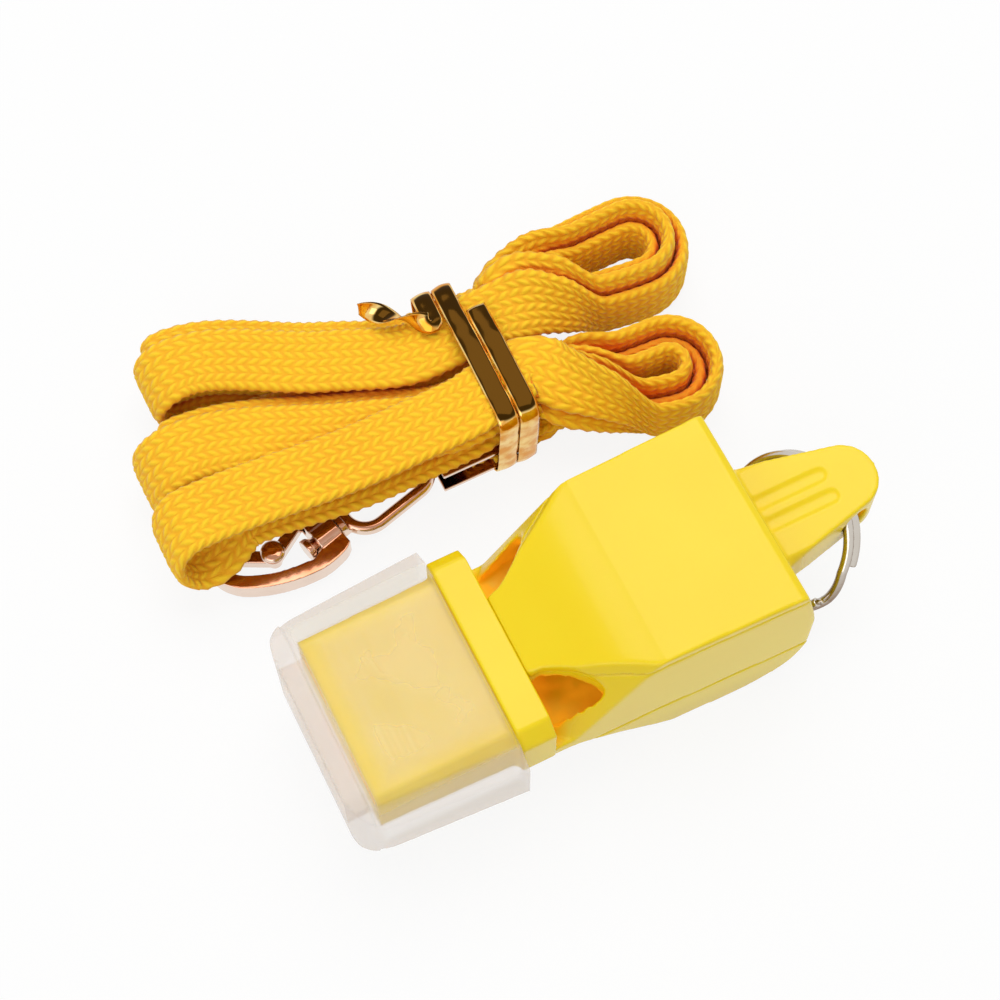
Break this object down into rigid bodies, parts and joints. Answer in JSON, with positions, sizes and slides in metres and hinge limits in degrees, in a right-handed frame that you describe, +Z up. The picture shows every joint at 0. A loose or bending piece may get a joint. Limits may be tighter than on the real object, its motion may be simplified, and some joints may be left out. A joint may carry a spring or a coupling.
{
  "type": "sports whistle with lanyard",
  "caption": "Pealess sports whistle with side windows, slip-on mouth guard and split ring, beside its folded flat wrist lanyard with clamp, swivel snap hook and foil tie.",
  "frame": {"origin": "on the resting plane under the middle of the whistle's bounding box, taken from the guard's lip to the lug's tip", "axes": "+X from the mouthpiece to the ring lug, +Z up from the belly flat, +Y towards the side where the lanyard lies"},
  "size_m": [0.0632, 0.0598, 0.0195],
  "materials": {
    "whistle_yellow": "moulded, satin gloss",
    "clear_guard": "frosted, translucent soft plastic",
    "ring_steel": "nickel plated",
    "braid": "flat knitted braid",
    "hook_plating": "nickel plated, mirror bright",
    "gold_foil": "metallised film over a thin wire"
  },
  "bodies": {
    "whistle": {"middle_body": "whistle_yellow", "top_cover": "whistle_yellow", "bottom_cover": "whistle_yellow"},
    "guard": {"mouth_guard": "clear_guard"},
    "ring": {"split_ring": "ring_steel"},
    "lanyard": {"lanyard_cord": "braid", "cord_clamp": "hook_plating", "swivel_eye": "hook_plating", "foil_tie": "gold_foil"},
    "hook": {"hook_claw": "hook_plating", "lever_pin": "ring_steel", "lever_spring": "ring_steel"},
    "lever": {"hook_lever": "hook_plating"}
  },
  "joints": [
    {"name": "guard_slide", "type": "slide", "parent": "whistle", "child": "guard", "axis": [-1, 0, 0], "range_m": [0, 0.018]},
    {"name": "ring_swing", "type": "hinge", "parent": "whistle", "child": "ring", "pos_m": [0.0256, 0, 0.0129], "axis": [0, -1, 0], "range_deg": [0, 250]},
    {"name": "lanyard_slide", "type": "slide", "parent": "whistle", "child": "lanyard", "axis": [0, 1, 0], "range_m": [0, 0.08]},
    {"name": "hook_swivel", "type": "hinge", "parent": "lanyard", "child": "hook", "pos_m": [-0.0174, 0.0223, 0.0017], "axis": [0.9659, 0.2588, 0], "range_deg": [-12, 6]},
    {"name": "lever_press", "type": "hinge", "parent": "hook", "child": "lever", "pos_m": [-0.01961, 0.02513, 0.0017], "axis": [0, 0, 1], "range_deg": [0, 9], "stiffness_Nm_per_rad": 0.002, "springref_deg": -20.05}
  ]
}
